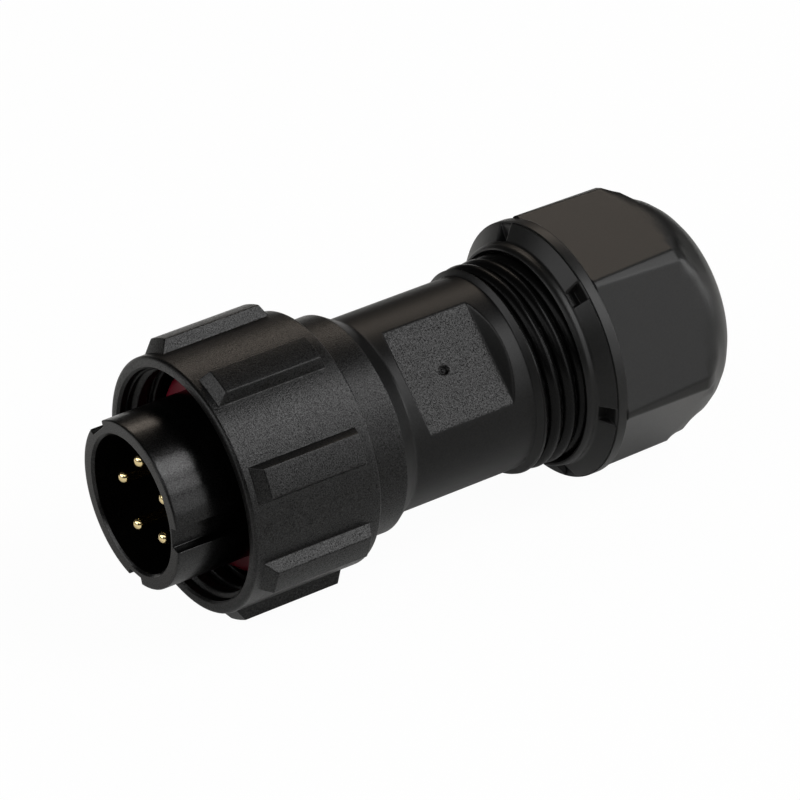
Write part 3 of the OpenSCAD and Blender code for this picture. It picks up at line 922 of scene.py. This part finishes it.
@dataclass
class CableGland(SubAssembly):
    """Domed hexagon nut of the cable gland, with the clamp cage and seal inside it."""

    face_r: float = 13.2
    nose_len: float = 1.3
    bead_at: float = 0.3
    bead_r: float = 13.55
    nose_r: float = 13.57
    bevel_len: float = 1.3
    rim_r: float = 15.65
    rim_len: float = 1.45
    hex_r: float = 13.9
    corner_r: float = 15.85
    corner_draft: float = 0.25
    hex_len: float = 12.3
    hex_sides: int = 6
    hex_angle: float = 9.2
    hex_margin: float = 0.6
    dome_top_r: float = 14.2
    dome_round: float = 6.95
    mouth_r: float = 13.0
    mouth_lead: float = 0.3
    bore_r: float = 12.75
    bore_len: float = 12.95
    cavity_r: float = 12.2
    cone_at: float = 15.15
    hole_r: float = 6.8
    hole_len: float = 2.2
    hole_lead: float = 0.4
    bore_margin: float = 0.2
    hole_margin: float = 1.0
    notch_w: float = 2.2
    notch_floor_r: float = 13.4
    notch_wall: float = 0.06
    step_slope: float = 0.12
    edge: float = 0.12
    parting_w: float = 0.1
    parting_depth: float = 0.06
    thread_depth: float = 0.7
    thread_in: tuple[float, float] = (0.5, 1.5)
    thread_out: tuple[float, float] = (1.0, 0.2)
    thread: Thread = Thread(pitch=2.0, crest_w=0.16, flank_w=0.5, crest_at=50.4, crest_angle=math.radians(150))
    columns: int = 312

    def faceted(self, station: Array, radius: Array, angle: Array) -> Array:
        """Radius of the nut: six flats cut the turned outline, notches cut its bevel, a thread lines its bore.

        A flat at distance d has the radius d / cos a at angle a from its normal. The corner lands taper, and
        their rear chamfer drops a millimetre a millimetre until the dome takes over.

        Args:
            station: X in mm.
            radius: radius of the plain outline.
            angle: angle round the axis, in radians.

        Returns:
            Final radius in mm.
        """
        front, _ = stations("gland_nut")
        bevel_end = front + self.nose_len + self.bevel_len
        hex_at = bevel_end + self.rim_len
        corner = turn_from(angle, math.radians(self.hex_angle), FULL_TURN / self.hex_sides)
        along = np.clip((station - hex_at) / self.hex_len, 0, 1)
        land = self.corner_r - self.corner_draft * along - np.maximum(station - hex_at - self.hex_len, 0)
        flat = self.hex_r / np.cos(math.pi / self.hex_sides - np.abs(corner))
        hexagon = smooth_min(np.maximum(radius, land), flat, self.edge)
        behind = (station > hex_at) & (radius > self.bore_r + self.bore_margin)
        behind |= (station > hex_at + self.hex_len) & (radius > self.hole_r + self.hole_margin)
        height = np.where(behind & (radius > self.hex_r - self.hex_margin), hexagon, radius)
        across = np.abs(self.rim_r * np.sin(corner))
        notch = 1 - rise(across, self.notch_w / 2 - self.notch_wall, self.notch_w / 2 + self.notch_wall)
        notch *= 1 - rise(station, bevel_end - self.notch_wall, bevel_end + self.notch_wall)
        notch *= rise(station, bevel_end - self.bevel_len, bevel_end - self.bevel_len + 2 * self.notch_wall)
        height = height - notch * np.maximum(height - self.notch_floor_r / np.cos(corner), 0)
        on_bore = np.abs(radius - self.bore_r) < ON_WALL
        bore_end = front + self.bore_len
        present = rise(station, front + self.thread_in[0], front + self.thread_in[1])
        present *= 1 - rise(station, bore_end - self.thread_out[0], bore_end - self.thread_out[1])
        threaded = radius - self.thread_depth * present * self.thread.ridge(station, angle)
        return np.where(on_bore, threaded, height)

    def build(self) -> None:
        """Builds the nut as one closed ring, and dresses the cage and the seal."""
        front, end = stations("gland_nut")
        nose_end = front + self.nose_len
        bevel_end = nose_end + self.bevel_len
        hex_at = bevel_end + self.rim_len
        parting_r = self.rim_r - self.parting_w - self.parting_depth
        outline = rounded_loop([
            (front, self.mouth_r, 0.05, 0.4),
            (front, self.face_r, 0.1, 0.2),
            (front + self.bead_at, self.bead_r, 0.9, 0.1),
            (nose_end, self.nose_r, 0.5, 0.12),
            (bevel_end, self.rim_r - self.parting_w, 0.03, 0.1),
            (bevel_end, parting_r, 0.02, 0.1),
            (bevel_end + self.parting_w, parting_r, 0.02, 0.1),
            (bevel_end + self.parting_w, self.rim_r, 0.06, 0.5),
            (hex_at, self.rim_r, 0.2, 0.5),
            (hex_at + self.step_slope, self.dome_top_r, 0.1, 0.45),
            (end, self.dome_top_r, self.dome_round, 0.5),
            (end, self.hole_r + self.hole_lead, 0.01, 0.5),
            (end - self.hole_lead, self.hole_r, 0.08, 0.6),
            (end - self.hole_len, self.hole_r, 0.1, 0.8),
            (front + self.cone_at, self.cavity_r, 0.2, 0.8),
            (front + self.bore_len, self.cavity_r, 0.05, 0.4),
            (front + self.bore_len, self.bore_r, 0.05, 0.14),
            (front + self.mouth_lead, self.bore_r, 0.05, 0.3),
        ], arc_steps=9)
        corners = [
            math.radians(self.hex_angle) + index * FULL_TURN / self.hex_sides for index in range(self.hex_sides)
        ]
        angles = crowded_angles(self.columns, corners, reach=5.5, boost=5)
        points = carried_round(outline, angles, self.faceted)
        mesh = ring_mesh("gland_nut_moulding", points, np.zeros(points.shape[:2]))
        self.stand_for("gland_nut", mesh, Body.GLAND, Slot.GLAND, [MATT_NYLON])
        self.dress(["clamp_cage"], INSULATOR)
        self.dress(["gland_seal"], BLACK_RUBBER)


# Studio


@dataclass(frozen=True)
class SoftBox:
    """A soft box that faces the part, by where it hangs as seen from there.

    Azimuth is counted from +X towards +Y and elevation from the floor, in degrees. The size is in metres, and
    the level is the brightness of its face, where 1 is white.
    """

    name: str
    azimuth: float
    elevation: float
    size: tuple[float, float]
    level: float
    tint: str = "ffffff"
    distance: float = 0.9

    def hang(self, aim: Vector) -> None:
        """Hangs the lamp, whose power is its face's brightness times pi times its area.

        Args:
            aim: point that it faces, in metres.
        """
        lamp = bpy.data.lights.new(self.name, "AREA")
        lamp.shape = "RECTANGLE"
        lamp.size, lamp.size_y = self.size
        lamp.energy = self.level * math.pi * self.size[0] * self.size[1]
        lamp.color = linear(self.tint)[:3]
        holder = bpy.data.objects.new(self.name, lamp)
        bpy.context.scene.collection.objects.link(holder)
        turn, lift = math.radians(self.azimuth), math.radians(self.elevation)
        away = Vector((math.cos(turn) * math.cos(lift), math.sin(turn) * math.cos(lift), math.sin(lift)))
        holder.location = aim + away * self.distance
        holder.rotation_euler = away.to_track_quat("Z", "Y").to_euler()


@dataclass
class Studio:
    """White paper, soft boxes, dim walls and the camera."""

    aim: tuple[float, float, float] = (38.0, 0.0, 0.0)
    camera_at: tuple[float, float, float] = (-238.6, -440.1, 291.7)
    camera_forward: tuple[float, float, float] = (0.46179, 0.73963, -0.48961)
    camera_up: tuple[float, float, float] = (0.31556, 0.37885, 0.86998)
    lens_mm: float = 234.0
    sensor_mm: float = 36.0
    clip_m: tuple[float, float] = (0.01, 100.0)
    floor_half_m: float = 0.8
    paper: str = "f2f2f0"
    floor_glow: float = 0.97
    mirrored_glow: float = 0.1
    sky_level: float = 0.03
    boxes: tuple[SoftBox, ...] = (
        SoftBox("right_upper_softbox", 322, 56, (0.38, 0.22), 7.1),
        SoftBox("right_middle_softbox", 314, 44, (0.32, 0.22), 6.1),
        SoftBox("right_lower_softbox", 307, 31, (0.38, 0.22), 5.4),
        SoftBox("right_foot_softbox", 300, 11, (0.46, 0.32), 2.5),
        SoftBox("far_right_softbox", 338, 14, (0.38, 0.32), 6.3),
        SoftBox("front_softbox", 262, 38, (1.04, 0.45), 0.35),
        SoftBox("left_softbox", 167, 22, (0.88, 0.32), 3.1),
        SoftBox("upper_left_softbox", 202, 42, (0.98, 0.29), 2.0),
        SoftBox("back_softbox", 52, 40, (0.34, 0.23), 3.1, "fff0e0"),
        SoftBox("low_back_softbox", 59, 28, (0.36, 0.16), 0.6, "fff0e0"),
        SoftBox("far_back_softbox", 20, 40, (0.38, 0.38), 1.05),
    )

    def build(self) -> None:
        """Builds the floor, the sky, the lamps and the camera."""
        self.lay_floor()
        self.paint_sky()
        for box in self.boxes:
            box.hang(Vector(self.aim) * MM)
        self.set_camera()

    def lay_floor(self) -> None:
        """Lays a sheet of paper under the part, which glows white to the camera and a little in reflections."""
        level = CAD_BOX[0].z
        side = np.array([-self.floor_half_m, self.floor_half_m])
        x, y = np.meshgrid(side, side)
        corners = np.stack([x, y, np.full_like(x, level)], axis=-1).reshape(-1, 3)
        mesh = bpy.data.meshes.new("paper_floor")
        mesh.from_pydata(corners.tolist(), [], [(0, 1, 3, 2)])
        floor = bpy.data.objects.new("paper_floor", mesh)
        bpy.context.scene.collection.objects.link(floor)
        material = bpy.data.materials.new("paper_sweep")
        material.use_nodes = True
        tree = material.node_tree
        tree.nodes.clear()
        paper = add_node(tree, "ShaderNodeBsdfDiffuse", {"Color": linear(self.paper)})
        glow = add_node(tree, "ShaderNodeEmission", {"Color": linear("ffffff"), "Strength": 1.0})
        path = add_node(tree, "ShaderNodeLightPath").outputs
        mirrored = add_node(
            tree,
            "ShaderNodeMath",
            {0: path["Is Glossy Ray"], 1: path["Is Transmission Ray"]},
            operation="MAXIMUM",
        )
        dimmed = add_node(
            tree, "ShaderNodeMath", {0: mirrored.outputs[0], 1: self.mirrored_glow}, operation="MULTIPLY"
        )
        share = add_node(
            tree,
            "ShaderNodeMath",
            {0: path["Is Camera Ray"], 1: self.floor_glow, 2: dimmed.outputs[0]},
            operation="MULTIPLY_ADD",
        )
        mix = add_node(
            tree,
            "ShaderNodeMixShader",
            {0: share.outputs[0], 1: paper.outputs["BSDF"], 2: glow.outputs["Emission"]},
        )
        add_node(tree, "ShaderNodeOutputMaterial", {"Surface": mix.outputs["Shader"]})
        mesh.materials.append(material)

    def paint_sky(self) -> None:
        """Paints dim walls that light the part evenly, and that the camera sees as white."""
        world = bpy.data.worlds.new("studio_walls")
        bpy.context.scene.world = world
        world.use_nodes = True
        tree = world.node_tree
        tree.nodes.clear()
        path = add_node(tree, "ShaderNodeLightPath").outputs
        level = add_node(
            tree,
            "ShaderNodeMath",
            {0: path["Is Camera Ray"], 1: self.sky_level},
            operation="MAXIMUM",
        )
        walls = add_node(
            tree, "ShaderNodeBackground", {"Color": linear("ffffff"), "Strength": level.outputs[0]}
        )
        add_node(tree, "ShaderNodeOutputWorld", {"Surface": walls.outputs["Background"]})

    def set_camera(self) -> None:
        """Sets the camera where the part is seen from a little in front of its left side and above."""
        data = bpy.data.cameras.new("camera")
        data.lens, data.sensor_width = self.lens_mm, self.sensor_mm
        data.clip_start, data.clip_end = self.clip_m
        camera = bpy.data.objects.new("camera", data)
        bpy.context.scene.collection.objects.link(camera)
        forward = Vector(self.camera_forward).normalized()
        right = forward.cross(Vector(self.camera_up)).normalized()
        up = right.cross(forward)
        turn = Matrix((right, up, -forward)).transposed()
        camera.matrix_world = Matrix.Translation(Vector(self.camera_at) * MM) @ turn.to_4x4()
        bpy.context.scene.camera = camera


def main() -> None:
    """Builds the studio and the sub-assemblies in order."""
    logging.basicConfig(level=logging.INFO, format="%(name)s: %(message)s")
    bpy.context.scene.view_settings.view_transform = "Standard"
    for part in (Studio(), MatingEnd(), CouplingNut(), BackShell(), CableGland()):
        part.build()


if __name__ == "__main__":
    main()
